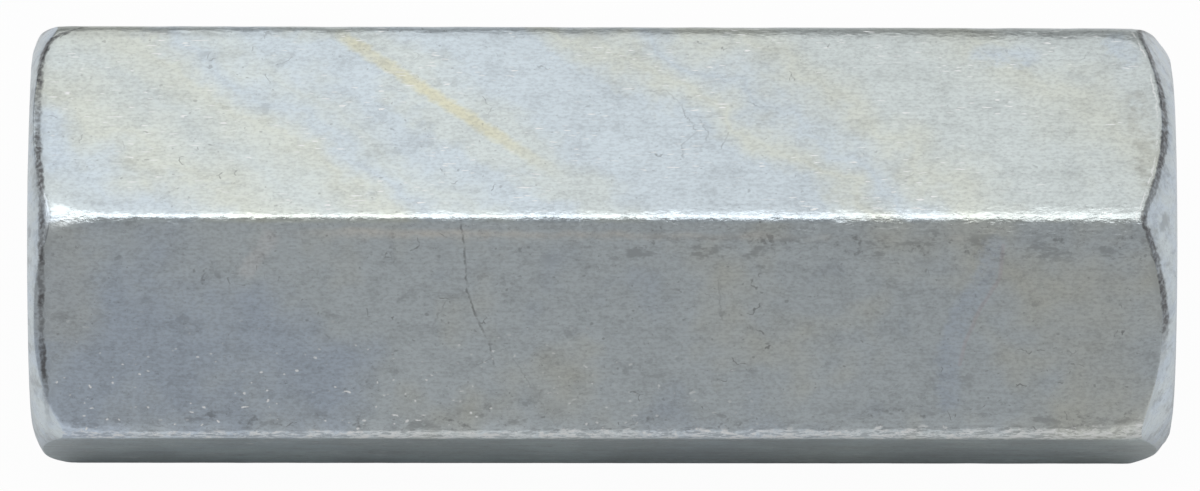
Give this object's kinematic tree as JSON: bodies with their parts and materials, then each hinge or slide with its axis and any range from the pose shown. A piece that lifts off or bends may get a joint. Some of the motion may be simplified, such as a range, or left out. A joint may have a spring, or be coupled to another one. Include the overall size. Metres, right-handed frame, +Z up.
{
  "type": "coupling nut",
  "caption": "Long hexagonal coupling nut in zinc-plated steel, threaded from end to end, which joins threaded rods in line.",
  "frame": {"origin": "on the resting flat, under the middle of the nut", "axes": "+X along the thread towards the end with the conical chamfer, +Z up from the resting flat"},
  "size_m": [0.0438, 0.0182, 0.0159],
  "materials": {
    "zinc_plate": "bright zinc plate on drawn steel, with faint blue and straw tints"
  },
  "bodies": {
    "root": {"coupling_nut": "zinc_plate"}
  },
  "joints": []
}
